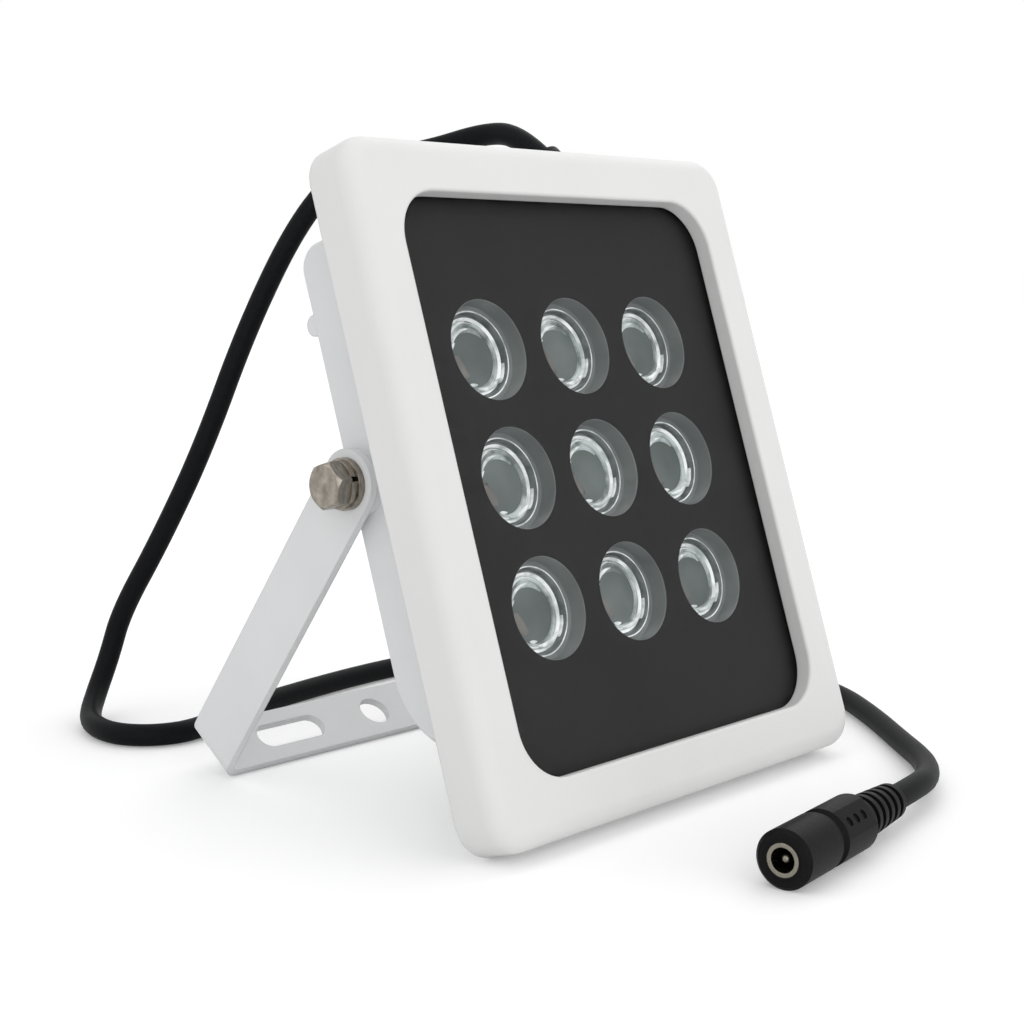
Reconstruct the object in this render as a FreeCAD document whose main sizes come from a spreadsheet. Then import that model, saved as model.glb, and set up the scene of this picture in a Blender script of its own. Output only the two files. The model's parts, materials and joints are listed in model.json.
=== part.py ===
import FreeCAD, Part
import math
import os
import re
import Sketcher

Vector = FreeCAD.Vector
Rotation = FreeCAD.Rotation
Placement = FreeCAD.Placement

doc = FreeCAD.newDocument("illuminator")

# Driving dimensions in millimetres, and angles in degrees
DRIVING = [
    # Front bezel: the window and the frame round it
    ("window_width", 113.0),
    ("window_height", 135.8),
    ("frame_side", 13.0),
    ("frame_end", 13.2),
    ("bezel_depth", 13.0),
    ("bezel_corner", 9.0),
    ("bezel_edge", 4.4),
    ("window_corner", 12.5),
    ("window_edge", 0.8),
    ("lip_depth", 4.4),
    # Glass, its seal and the plate behind it
    ("seal_thickness", 0.5),
    ("seal_inset", 0.5),
    ("glass_lap", 3.2),
    ("glass_corner", 12.0),
    ("glass_thickness", 3.0),
    ("pane_play", 0.2),
    ("plate_thickness", 1.2),
    # Lens grid
    ("lens_pitch", 31.0),
    ("grid_rise", 0.7),
    ("aperture_radius", 12.3),
    ("lens_wall", 1.5),
    ("lens_rim_depth", 3.2),
    ("lens_rim_height", 4.6),
    ("lens_depth", 12.0),
    ("lens_ring_radius", 11.1),
    ("lens_ring_width", 0.6),
    ("lens_groove", 0.9),
    ("lens_dish_radius", 7.5),
    ("lens_dish_depth", 4.8),
    ("lens_foot_radius", 6.2),
    ("lens_cup_radius", 4.2),
    ("lens_cup_depth", 5.0),
    ("lens_cup_draft", 0.6),
    # Emitters and their board
    ("board_thickness", 1.6),
    ("board_play", 1.0),
    ("board_corner", 3.0),
    ("led_size", 5.0),
    ("led_base", 1.0),
    ("led_dome_radius", 1.9),
    # Housing flange and the gasket before it
    ("gasket_thickness", 1.0),
    ("gasket_width", 7.0),
    ("flange_rim", 4.6),
    ("flange_corner", 8.0),
    ("flange_thickness", 2.5),
    # Rear housing
    ("housing_side_step", 11.3),
    ("housing_top_step", 16.6),
    ("housing_foot_step", 23.1),
    ("housing_depth", 34.6),
    ("housing_top_round", 6.0),
    ("foot_flat", 2.0),
    ("housing_edge", 0.9),
    ("side_wall", 3.0),
    ("top_wall", 3.0),
    ("foot_wall", 8.0),
    ("cavity_corner", 4.0),
    ("floor_thickness", 3.0),
    ("fin_thickness", 2.2),
    # Driver bay on the back and what it holds
    ("bay_width", 64.0),
    ("bay_height", 74.0),
    ("bay_depth", 40.0),
    ("bay_wall", 2.6),
    ("bay_corner", 5.0),
    ("post_size", 7.0),
    ("standoff_radius", 3.4),
    ("cover_thickness", 2.4),
    ("cover_seal_thickness", 0.8),
    ("driver_width", 42.0),
    ("driver_height", 50.0),
    ("driver_standoff", 2.0),
    ("inductor_radius", 5.0),
    ("inductor_height", 6.0),
    ("capacitor_radius", 3.2),
    ("capacitor_height", 7.0),
    # Small bumps cast on the back of the side walls
    ("bump_radius", 2.6),
    ("bump_drop", 17.8),
    ("bump_reach", 3.6),
    # Pivot
    ("pivot_depth", 30.3),
    ("pivot_height", 7.6),
    ("boss_radius", 7.8),
    ("boss_length", 13.0),
    ("pivot_play", 0.1),
    ("shaft_play", 0.06),
    ("thread_play", 0.02),
    # Folded bracket
    ("arm_step", 4.3),
    ("bracket_reach", 92.0),
    ("strip_width", 16.2),
    ("strip_thickness", 2.0),
    ("fold_radius", 4.5),
    ("bracket_hole_radius", 4.4),
    ("bracket_hole_offset", 4.8),
    ("slot_width", 7.4),
    ("slot_length", 22.0),
    ("slot_offset", 35.0),
    # Pivot bolts and washers
    ("bolt_radius", 3.0),
    ("bolt_length", 16.0),
    ("bolt_flats", 10.0),
    ("bolt_head_height", 4.0),
    ("spring_washer_thickness", 1.6),
    ("spring_washer_radius", 5.6),
    ("spring_washer_gap", 1.2),
    ("flat_washer_thickness", 1.6),
    ("flat_washer_radius", 6.1),
    # Small screws
    ("screw_radius", 1.5),
    ("screw_head_radius", 2.6),
    ("screw_head_height", 1.8),
    ("screw_bite", 4.0),
    ("screw_tip_gap", 0.4),
    # Cord exit
    ("exit_side", 28.7),
    ("exit_depth", 19.5),
    ("exit_hole_radius", 4.2),
    ("relief_flange_radius", 6.4),
    ("relief_flange_height", 3.0),
    ("relief_bend_radius", 36.0),
    ("relief_bend_angle", 35.0),
    ("relief_core_radius", 3.7),
    ("relief_rib_radius", 4.7),
    ("relief_rib_length", 1.9),
    # Cord and its socket
    ("cord_radius", 3.0),
    ("jack_radius", 6.6),
    ("jack_front_length", 15.0),
    ("jack_edge", 0.8),
    ("jack_waist_radius", 5.8),
    ("jack_waist_length", 3.0),
    ("jack_grip_radius", 6.6),
    ("jack_grip_length", 15.0),
    ("jack_grip_flats", 11.4),
    ("jack_tail_length", 21.0),
    ("jack_tail_radius", 5.3),
    ("jack_tail_end_radius", 4.2),
    ("jack_groove", 0.9),
    ("dimple_radius", 1.1),
    ("dimple_pitch", 3.4),
    ("dimple_depth", 0.4),
    ("jack_insulator_radius", 4.6),
    ("jack_insulator_length", 12.0),
    ("jack_sleeve_radius", 3.7),
    ("jack_sleeve_length", 9.6),
    ("jack_bore_radius", 2.75),
    ("jack_pin_radius", 1.05),
    ("jack_pin_recess", 0.8),
    ("jack_roll", 40.0),
    # How the lamp stands
    ("head_tilt", 18.0),
]

GRID = (-1, 0, 1)
GROOVE_COUNT = 12
RELIEF_RIBS = 5
TAIL_GROOVES = 6

# Depths behind the front face, from the front to the back
SEAL_FRONT = "lip_depth"
GLASS_FRONT = "(lip_depth + seal_thickness)"
PLATE_FRONT = "(lip_depth + seal_thickness + glass_thickness)"
PLATE_BACK = "(lip_depth + seal_thickness + glass_thickness + plate_thickness)"
BOARD_FRONT = "(%s + lens_depth)" % PLATE_BACK
FLOOR_FRONT = "(%s + board_thickness)" % BOARD_FRONT
FLOOR_BACK = "(%s + floor_thickness)" % FLOOR_FRONT
FLANGE_FRONT = "(%s + gasket_thickness)" % PLATE_BACK
FLANGE_BACK = "(%s + flange_thickness)" % FLANGE_FRONT

# Sizes that follow from the driving ones
DERIVED = [
    ("bezel_width", "window_width + 2 * frame_side"),
    ("bezel_height", "window_height + 2 * frame_end"),
    ("housing_width", "bezel_width - 2 * housing_side_step"),
    ("housing_rise", "bezel_height / 2 - housing_top_step"),
    ("housing_drop", "bezel_height / 2 - housing_foot_step"),
    ("fin_pitch", "(housing_width - 2 * side_wall) / %d" % GROOVE_COUNT),
    ("bump_height", "housing_rise - bump_drop"),
    ("housing_foot_round", "housing_depth - %s - foot_flat" % FLANGE_BACK),
    ("bracket_width", "housing_width + 2 * arm_step"),
]

# Outlines shared by the pieces that seat in each other
PANE_WIDTH = "(window_width + 2 * glass_lap)"
PANE_HEIGHT = "(window_height + 2 * glass_lap)"
FLANGE_WIDTH = "(bezel_width - 2 * flange_rim)"
FLANGE_HEIGHT = "(bezel_height - 2 * flange_rim)"
CAVITY_WIDTH = "(housing_width - 2 * side_wall)"
CAVITY_TOP = "(housing_rise - top_wall)"
CAVITY_FOOT = "(foot_wall - housing_drop)"
BOARD_WIDTH = "(%s - 2 * board_play)" % CAVITY_WIDTH
BOARD_HEIGHT = "(%s - %s - 2 * board_play)" % (CAVITY_TOP, CAVITY_FOOT)
BOARD_RISE = "((%s + %s) / 2)" % (CAVITY_TOP, CAVITY_FOOT)
BAY_INNER_WIDTH = "(bay_width - 2 * bay_wall)"
BAY_INNER_HEIGHT = "(bay_height - 2 * bay_wall)"
BAY_POST_X = "((%s - post_size) / 2)" % BAY_INNER_WIDTH
BAY_POST_Y = "((%s - post_size) / 2)" % BAY_INNER_HEIGHT
DRIVER_FRONT = "(%s + driver_standoff)" % FLOOR_BACK
BOSS_FACE = "(bracket_width / 2 - strip_thickness - pivot_play)"
WASHER_SEAT = "(bracket_width / 2 + pivot_play)"
SPRING_SEAT = "(%s + flat_washer_thickness)" % WASHER_SEAT
HEAD_SEAT = "(%s + spring_washer_thickness)" % SPRING_SEAT

# The cord's route from the strain relief to the socket, above a floor at zero
CORD_ROUTE = [
    (28.7, 18.2, 157.2),
    (28.7, 27.0, 163.8),
    (29.5, 39.5, 165.5),
    (22.5, 57.5, 160.5),
    (10.5, 74.5, 157.5),
    (0.5, 84.5, 142.5),
    (-11.5, 92.5, 112.0),
    (-22.5, 98.5, 77.5),
    (-30.5, 108.5, 50.5),
    (-35.0, 120.5, 29.5),
    (-39.5, 124.0, 17.0),
    (-49.5, 123.0, 7.5),
    (-59.5, 116.5, 3.0),
    (-65.5, 105.5, 3.0),
    (-64.5, 93.5, 3.0),
    (-56.5, 83.5, 3.0),
    (-44.0, 80.0, 3.0),
    (-22.0, 88.0, 3.0),
    (-3.0, 92.5, 3.0),
    (29.0, 97.0, 3.0),
    (56.0, 97.5, 3.0),
    (84.0, 87.5, 3.0),
    (106.0, 66.5, 3.0),
    (120.0, 37.5, 3.0),
    (123.5, 6.0, 3.0),
    (115.0, -23.5, 3.0),
    (96.5, -47.0, 3.0),
    (77.0, -68.0, 3.0),
    (61.0, -84.0, 4.0),
    (46.0, -93.5, 5.0),
    (31.5, -98.4, 6.6),
    (18.0, -99.9, 6.6),
]
ARC_SHARE = 0.45

sheet = doc.addObject("Spreadsheet::Sheet", "Sizes")
contents = [(alias, "%g" % value) for alias, value in DRIVING]
contents += [(alias, "=" + rule) for alias, rule in DERIVED]
for row, (alias, content) in enumerate(contents, start=1):
    sheet.set("A%d" % row, alias)
    sheet.set("B%d" % row, content)
    sheet.setAlias("B%d" % row, alias)
doc.recompute()

ALIASES = set(alias for alias, content in contents)
NODES = []


def number(expression):
    """The value of an expression on the sheet."""
    value = sheet.evalExpression(str(expression))
    return float(getattr(value, "Value", value))


def bound(expression):
    """The expression with each alias written as a reference to the sheet."""
    words = re.compile(r"[a-z][a-z_]+")
    return words.sub(lambda found: "Sizes." + found.group() if found.group() in ALIASES else found.group(),
                     str(expression))


def behind(depth):
    """The height of a plane that lies this far behind the front face."""
    return "-(%s)" % depth


def node(item, label, place):
    """Names a finished piece, puts it in its place and keeps it for writing."""
    item.Label = label
    item.Placement = place
    NODES.append(item)
    return item


def new_body(name):
    return doc.addObject("PartDesign::Body", name + "_body")


def new_sketch(body, plane_role, lift="0"):
    """An empty sketch on one of the body's own planes, moved along its normal."""
    sketch = body.newObject("Sketcher::SketchObject", body.Name + "_sketch")
    plane = [item for item in body.Origin.OriginFeatures if item.Role == plane_role][0]
    sketch.AttachmentSupport = [(plane, "")]
    sketch.MapMode = "FlatFace"
    sketch.setExpression("AttachmentOffset.Base.z", bound(lift))
    return sketch


def tie(sketch, kind, geometry, point, expression):
    """Holds a point of the sketch at a distance from its origin."""
    rule = Sketcher.Constraint(kind, -1, 1, geometry, point, number(expression))
    index = sketch.addConstraint(rule)
    sketch.setExpression("Constraints[%d]" % index, bound(expression))


def tie_radius(sketch, geometry, expression):
    index = sketch.addConstraint(Sketcher.Constraint("Radius", geometry, number(expression)))
    sketch.setExpression("Constraints[%d]" % index, bound(expression))


def draw_circle(sketch, radius, across="0", up="0"):
    centre = Vector(number(across), number(up), 0)
    geometry = sketch.addGeometry(Part.Circle(centre, Vector(0, 0, 1), number(radius)), False)
    tie(sketch, "DistanceX", geometry, 3, across)
    tie(sketch, "DistanceY", geometry, 3, up)
    tie_radius(sketch, geometry, radius)


def draw_polygon(sketch, corners):
    """A closed outline of straight lines through corners given as expressions."""
    points = [Vector(number(across), number(up), 0) for across, up in corners]
    count = len(points)
    lines = [sketch.addGeometry(Part.LineSegment(points[i], points[(i + 1) % count]), False)
             for i in range(count)]
    for i in range(count):
        following = lines[(i + 1) % count]
        sketch.addConstraint(Sketcher.Constraint("Coincident", lines[i], 2, following, 1))
        tie(sketch, "DistanceX", lines[i], 1, corners[i][0])
        tie(sketch, "DistanceY", lines[i], 1, corners[i][1])


def draw_rounded(sketch, width, height, radius, across="0", up="0"):
    """A rectangle with round corners: four arcs joined by tangent lines."""
    turns = [(1, 1), (-1, 1), (-1, -1), (1, -1)]
    arcs = []
    for quarter, (side, rise) in enumerate(turns):
        middle_x = "%s + (%d) * ((%s) / 2 - (%s))" % (across, side, width, radius)
        middle_y = "%s + (%d) * ((%s) / 2 - (%s))" % (up, rise, height, radius)
        centre = Vector(number(middle_x), number(middle_y), 0)
        circle = Part.Circle(centre, Vector(0, 0, 1), number(radius))
        arc = Part.ArcOfCircle(circle, quarter * math.pi / 2, (quarter + 1) * math.pi / 2)
        geometry = sketch.addGeometry(arc, False)
        tie(sketch, "DistanceX", geometry, 3, middle_x)
        tie(sketch, "DistanceY", geometry, 3, middle_y)
        tie_radius(sketch, geometry, radius)
        arcs.append((geometry, arc))
    for quarter in range(4):
        first, first_arc = arcs[quarter]
        second, second_arc = arcs[(quarter + 1) % 4]
        line = sketch.addGeometry(Part.LineSegment(first_arc.EndPoint, second_arc.StartPoint), False)
        sketch.addConstraint(Sketcher.Constraint("Tangent", first, 2, line, 1))
        sketch.addConstraint(Sketcher.Constraint("Tangent", line, 2, second, 1))


def draw_slot(sketch, length, width, across="0", up="0"):
    """A slot along the first axis: two half circles joined by tangent lines."""
    ends = []
    for side, start in ((1, -math.pi / 2), (-1, math.pi / 2)):
        middle = "%s + (%d) * ((%s) - (%s)) / 2" % (across, side, length, width)
        circle = Part.Circle(Vector(number(middle), number(up), 0), Vector(0, 0, 1), number(width) / 2)
        arc = Part.ArcOfCircle(circle, start, start + math.pi)
        geometry = sketch.addGeometry(arc, False)
        tie(sketch, "DistanceX", geometry, 3, middle)
        tie(sketch, "DistanceY", geometry, 3, up)
        tie_radius(sketch, geometry, "%s / 2" % width)
        ends.append((geometry, arc))
    for first, second in ((0, 1), (1, 0)):
        line = Part.LineSegment(ends[first][1].EndPoint, ends[second][1].StartPoint)
        geometry = sketch.addGeometry(line, False)
        sketch.addConstraint(Sketcher.Constraint("Tangent", ends[first][0], 2, geometry, 1))
        sketch.addConstraint(Sketcher.Constraint("Tangent", geometry, 2, ends[second][0], 1))


def pad(body, sketch, length, symmetric=False, flip=False):
    feature = body.newObject("PartDesign::Pad", body.Name + "_pad")
    feature.Profile = sketch
    feature.setExpression("Length", bound(length))
    feature.SideType = "Symmetric" if symmetric else "One side"
    feature.Reversed = flip
    doc.recompute()
    return feature


def pocket(body, sketch, length, symmetric=False, flip=False):
    """A cut that has to take material away, against the sketch's normal unless flipped."""
    before = body.Shape.Volume
    feature = body.newObject("PartDesign::Pocket", body.Name + "_pocket")
    feature.Profile = sketch
    feature.setExpression("Length", bound(length))
    feature.SideType = "Symmetric" if symmetric else "One side"
    feature.Reversed = flip
    doc.recompute()
    if body.Shape.Volume >= before:
        raise ValueError(feature.Label + " cuts nothing")
    return feature


def revolve(body, sketch, axis_role="Z_Axis"):
    feature = body.newObject("PartDesign::Revolution", body.Name + "_revolution")
    feature.Profile = sketch
    axis = [item for item in body.Origin.OriginFeatures if item.Role == axis_role][0]
    feature.ReferenceAxis = (axis, [""])
    feature.Angle = 360
    doc.recompute()
    return feature


def dress_edges(body, base, kind, key, amount, chosen):
    """A fillet or chamfer on the edges of a feature that the given test picks."""
    edges = ["Edge%d" % (i + 1) for i, item in enumerate(base.Shape.Edges) if chosen(item)]
    if not edges:
        raise ValueError("no edge to dress on " + body.Label)
    feature = body.newObject("PartDesign::" + kind, body.Name + "_dress")
    feature.Base = (base, edges)
    feature.setExpression(key, bound(amount))
    doc.recompute()
    return feature


def round_edges(body, base, radius, chosen):
    return dress_edges(body, base, "Fillet", "Radius", radius, chosen)


def bevel_edges(body, base, amount, chosen):
    return dress_edges(body, base, "Chamfer", "Size", amount, chosen)


def at_height(height):
    """A test for edges that lie in one plane across the last axis."""
    level = number(height)
    return lambda edge: abs(edge.BoundBox.ZMin - level) < 1e-4 and abs(edge.BoundBox.ZMax - level) < 1e-4


def slab(body, front, thickness, outlines):
    """A plate whose front lies at a depth behind the front face."""
    sketch = new_sketch(body, "XY_Plane", behind(front))
    for draw in outlines:
        draw(sketch)
    return pad(body, sketch, thickness, flip=True)


def recess(body, front, depth, outlines):
    """A cut that starts at a depth behind the front face and runs backwards."""
    sketch = new_sketch(body, "XY_Plane", behind(front))
    for draw in outlines:
        draw(sketch)
    return pocket(body, sketch, depth)


def rounded(width, height, radius, across="0", up="0"):
    return lambda sketch: draw_rounded(sketch, width, height, radius, across, up)


def circle(radius, across="0", up="0"):
    return lambda sketch: draw_circle(sketch, radius, across, up)


def primitive(kind, name, **sizes):
    """A solid with its sizes and place bound to the sheet."""
    item = doc.addObject("Part::" + kind, name)
    for key, expression in sizes.items():
        item.setExpression(key.replace("__", "."), bound(expression))
    return item


def fuse(name, shapes):
    item = doc.addObject("Part::MultiFuse", name)
    item.Shapes = shapes
    return item


def compound(name, shapes):
    item = doc.addObject("Part::Compound", name)
    item.Links = shapes
    return item


def cut(name, base, tool):
    item = doc.addObject("Part::Cut", name)
    item.Base = base
    item.Tool = tool
    return item


def down_local(across, up, depth):
    """A place in the head's own frame: across, up along the face, and back."""
    return Vector(number(across), number(up), -number(depth))


# The stand decides where the head is held above the floor
tilt = math.radians(number("head_tilt"))
half_height = number("bezel_height") / 2
edge = number("bezel_edge")
floor_to_front = half_height * math.cos(tilt) + number("bezel_depth") * math.sin(tilt)
pivot_back = number("pivot_depth") * math.cos(tilt) + number("pivot_height") * math.sin(tilt)
pivot_up = floor_to_front + number("pivot_height") * math.cos(tilt) - number("pivot_depth") * math.sin(tilt)
half_strip = number("strip_width") / 2
reach = number("bracket_reach")
lean = math.atan2(half_strip, reach) + math.acos(pivot_up / math.hypot(reach, half_strip))
front_limit = edge * math.cos(tilt) - (half_height - edge) * math.sin(tilt) - edge
back_limit = pivot_back + reach * math.sin(lean) + half_strip * math.cos(lean)
head_back = -(front_limit + back_limit) / 2

HEAD = Placement(Vector(0, head_back, floor_to_front), Rotation(Vector(1, 0, 0), 90 - number("head_tilt")))
PIVOT = Vector(0, head_back + pivot_back, pivot_up)
STAND = Placement(PIVOT, Rotation(Vector(1, 0, 0), math.degrees(lean)))


def head_at(across, up, depth, turn=None):
    """A placement in the head's frame, with a turn of its own where one is given."""
    return HEAD.multiply(Placement(down_local(across, up, depth), turn or Rotation()))


def bezel_screw_spots():
    """Places of the screws on the ledge between the pane and the flange's edge."""
    side = "((%s + %s) / 4)" % (PANE_WIDTH, FLANGE_WIDTH)
    end = "((%s + %s) / 4)" % (PANE_HEIGHT, FLANGE_HEIGHT)
    spots = [("(%d) * %s" % (s, side), "(%d) * window_height * 0.45" % row) for s in (-1, 1) for row in GRID]
    spots += [("(%d) * window_width / 4" % s, "(%d) * %s" % (r, end)) for s in (-1, 1) for r in (-1, 1)]
    return spots


def grid_across(column):
    return "((%g) * lens_pitch)" % column


def grid_up(row):
    return "(grid_rise + (%g) * lens_pitch)" % row


def board_screw_spots():
    """Places midway between the lenses."""
    return [(grid_across(column), grid_up(row)) for column in (-0.5, 0.5) for row in (-0.5, 0.5)]


def bay_post_spots():
    return [("(%d) * %s" % (s, BAY_POST_X), "(%d) * %s" % (r, BAY_POST_Y)) for s in (-1, 1) for r in (-1, 1)]


def driver_screw_spots():
    return [("(%d) * (driver_width / 2 - screw_head_radius - 1)" % s, "0") for s in (-1, 1)]


def make_bezel():
    body = new_body("front_bezel")
    outer = slab(body, "0", "bezel_depth", [rounded("bezel_width", "bezel_height", "bezel_corner")])
    round_edges(body, outer, "bezel_edge", at_height("0"))
    opened = recess(body, "0", "bezel_depth", [rounded("window_width", "window_height", "window_corner")])
    reach_x = number("window_width") / 2

    def at_window(item):
        box = item.BoundBox
        return at_height("0")(item) and max(abs(box.XMin), abs(box.XMax)) < reach_x + 1e-4
    round_edges(body, opened, "window_edge", at_window)
    pane = rounded("%s + 2 * pane_play" % PANE_WIDTH, "%s + 2 * pane_play" % PANE_HEIGHT, "glass_corner")
    recess(body, SEAL_FRONT, "bezel_depth", [pane])
    flange = rounded("%s + 2 * pane_play" % FLANGE_WIDTH, "%s + 2 * pane_play" % FLANGE_HEIGHT,
                     "flange_corner")
    recess(body, PLATE_BACK, "bezel_depth", [flange])
    holes = [circle("screw_radius + thread_play", x, y) for x, y in bezel_screw_spots()]
    recess(body, "%s - screw_bite - screw_tip_gap" % PLATE_BACK, "screw_bite + screw_tip_gap", holes)
    node(body, "front_bezel", HEAD)


def make_panes():
    """Seal, glass and lens plate: one outline, stacked behind the lip."""
    pane = rounded(PANE_WIDTH, PANE_HEIGHT, "glass_corner")
    seal_hole = rounded("window_width + 2 * seal_inset", "window_height + 2 * seal_inset", "window_corner")
    seal = new_body("glass_seal")
    slab(seal, SEAL_FRONT, "seal_thickness", [pane, seal_hole])
    node(seal, "glass_seal", HEAD)
    glass = new_body("window_glass")
    slab(glass, GLASS_FRONT, "glass_thickness", [pane])
    node(glass, "window_glass", HEAD)
    plate = new_body("lens_plate")
    slab(plate, PLATE_FRONT, "plate_thickness", [pane])
    holes = [circle("aperture_radius", grid_across(i), grid_up(j)) for i in GRID for j in GRID]
    recess(plate, PLATE_FRONT, "plate_thickness", holes)
    node(plate, "lens_plate", HEAD)


def make_lens(label, across, up):
    """A collimator: a rim behind the plate, a stepped face, a cone and a cup over the emitter."""
    body = new_body(label)
    sketch = new_sketch(body, "XZ_Plane")
    rim_out = "(aperture_radius + lens_wall)"
    draw_polygon(sketch, [
        ("aperture_radius", "0"),
        (rim_out, "0"),
        (rim_out, "-lens_rim_height"),
        ("lens_foot_radius", "-lens_depth"),
        ("lens_cup_radius", "-lens_depth"),
        ("lens_cup_radius - lens_cup_draft", "lens_cup_depth - lens_depth"),
        ("0", "lens_cup_depth - lens_depth"),
        ("0", "-lens_dish_depth"),
        ("lens_dish_radius", "-lens_dish_depth"),
        ("lens_dish_radius + lens_ring_width", "-lens_rim_depth"),
        ("lens_ring_radius - 2 * lens_ring_width", "-lens_rim_depth"),
        ("lens_ring_radius - lens_ring_width", "-lens_rim_depth - lens_groove"),
        ("lens_ring_radius", "-lens_rim_depth"),
        ("aperture_radius", "-lens_rim_depth"),
    ])
    revolve(body, sketch)
    node(body, label, head_at(across, up, PLATE_BACK))


def make_led(label, across, up):
    """A square package with a round dome, on the board under one lens."""
    base = primitive("Box", label + "_base", Length="led_size", Width="led_size", Height="led_base",
                     Placement__Base__x="-led_size / 2", Placement__Base__y="-led_size / 2")
    dome = primitive("Sphere", label + "_dome", Radius="led_dome_radius", Placement__Base__z="led_base")
    dome.Angle1 = 0
    node(fuse(label + "_fuse", [base, dome]), label, head_at(across, up, BOARD_FRONT))


def make_lens_grid():
    order = 0
    for row in reversed(GRID):
        for column in GRID:
            order += 1
            make_lens("lens_%d" % order, grid_across(column), grid_up(row))
            make_led("led_%d" % order, grid_across(column), grid_up(row))


def make_led_board():
    body = new_body("led_board")
    outline = rounded(BOARD_WIDTH, BOARD_HEIGHT, "board_corner", "0", BOARD_RISE)
    slab(body, BOARD_FRONT, "board_thickness", [outline])
    recess(body, BOARD_FRONT, "board_thickness",
           [circle("screw_radius + board_play / 4", x, y) for x, y in board_screw_spots()])
    node(body, "led_board", HEAD)


def make_gasket():
    body = new_body("housing_gasket")
    outer = rounded(FLANGE_WIDTH, FLANGE_HEIGHT, "flange_corner")
    inner = rounded("%s - 2 * gasket_width" % FLANGE_WIDTH, "%s - 2 * gasket_width" % FLANGE_HEIGHT,
                    "flange_corner")
    slab(body, PLATE_BACK, "gasket_thickness", [outer, inner])
    recess(body, PLATE_BACK, "gasket_thickness",
           [circle("screw_radius + pivot_play", x, y) for x, y in bezel_screw_spots()])
    node(body, "housing_gasket", HEAD)


def draw_side_profile(sketch):
    """The housing seen from its side, with y up the face and z to the front."""
    top = number("housing_rise")
    foot = -number("housing_drop")
    front = -number(FLANGE_FRONT)
    back = -number("housing_depth")
    top_round = number("housing_top_round")
    foot_round = number("housing_foot_round")
    axis = Vector(0, 0, 1)
    upper = Part.Circle(Vector(top - top_round, back + top_round, 0), axis, top_round)
    lower = Part.Circle(Vector(foot + foot_round, back + foot_round, 0), axis, foot_round)
    upper_arc = Part.ArcOfCircle(upper, -math.pi / 2, 0)
    lower_arc = Part.ArcOfCircle(lower, math.pi, 3 * math.pi / 2)
    arc_top = sketch.addGeometry(upper_arc, False)
    arc_foot = sketch.addGeometry(lower_arc, False)
    ties = [(arc_top, "housing_rise - housing_top_round", "housing_top_round - housing_depth",
             "housing_top_round"),
            (arc_foot, "housing_foot_round - housing_drop", "housing_foot_round - housing_depth",
             "housing_foot_round")]
    for geometry, across, up, radius in ties:
        tie(sketch, "DistanceX", geometry, 3, across)
        tie(sketch, "DistanceY", geometry, 3, up)
        tie_radius(sketch, geometry, radius)
    back_line = sketch.addGeometry(Part.LineSegment(lower_arc.EndPoint, upper_arc.StartPoint), False)
    top_line = sketch.addGeometry(Part.LineSegment(upper_arc.EndPoint, Vector(top, front, 0)), False)
    front_line = sketch.addGeometry(Part.LineSegment(Vector(top, front, 0), Vector(foot, front, 0)), False)
    foot_line = sketch.addGeometry(Part.LineSegment(Vector(foot, front, 0), lower_arc.StartPoint), False)
    for first, second in ((arc_foot, back_line), (back_line, arc_top), (arc_top, top_line),
                          (foot_line, arc_foot)):
        sketch.addConstraint(Sketcher.Constraint("Tangent", first, 2, second, 1))
    sketch.addConstraint(Sketcher.Constraint("Coincident", top_line, 2, front_line, 1))
    sketch.addConstraint(Sketcher.Constraint("Coincident", front_line, 2, foot_line, 1))
    sketch.addConstraint(Sketcher.Constraint("Vertical", top_line))
    sketch.addConstraint(Sketcher.Constraint("Vertical", foot_line))
    tie(sketch, "DistanceY", front_line, 1, behind(FLANGE_FRONT))
    tie(sketch, "DistanceY", front_line, 2, behind(FLANGE_FRONT))


def draw_bay(sketch):
    """The bay's inside: a rectangle whose corners stay solid for the cover's screws."""
    side = "(%s / 2)" % BAY_INNER_WIDTH
    rise = "(%s / 2)" % BAY_INNER_HEIGHT
    corners = []
    for across, up in ((1, 1), (-1, 1), (-1, -1), (1, -1)):
        outer = [("(%d) * %s" % (across, side), "(%d) * (%s - post_size)" % (up, rise)),
                 ("(%d) * (%s - post_size)" % (across, side), "(%d) * (%s - post_size)" % (up, rise)),
                 ("(%d) * (%s - post_size)" % (across, side), "(%d) * %s" % (up, rise))]
        corners += outer if across == up else outer[::-1]
    draw_polygon(sketch, corners)


def cut_fins(body):
    """Grooves between upright fins, from the back down to the housing floor."""
    sketch = new_sketch(body, "XZ_Plane")
    for groove in range(GROOVE_COUNT):
        middle = "(%g) * fin_pitch" % (groove - (GROOVE_COUNT - 1) / 2)
        near = "%s - (fin_pitch - fin_thickness) / 2" % middle
        far = "%s + (fin_pitch - fin_thickness) / 2" % middle
        draw_polygon(sketch, [(near, behind(FLOOR_BACK)), (far, behind(FLOOR_BACK)),
                              (far, "-housing_depth - 1"), (near, "-housing_depth - 1")])
    pocket(body, sketch, "4 * housing_rise", symmetric=True)


def side_cylinder(body, radius, inner, outer, up, depth):
    """A round boss on each side, along the pivot's direction."""
    for flip in (False, True):
        sketch = new_sketch(body, "YZ_Plane", "-(%s)" % inner if flip else inner)
        draw_circle(sketch, radius, up, behind(depth))
        pad(body, sketch, "%s - (%s)" % (outer, inner), flip=flip)


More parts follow.
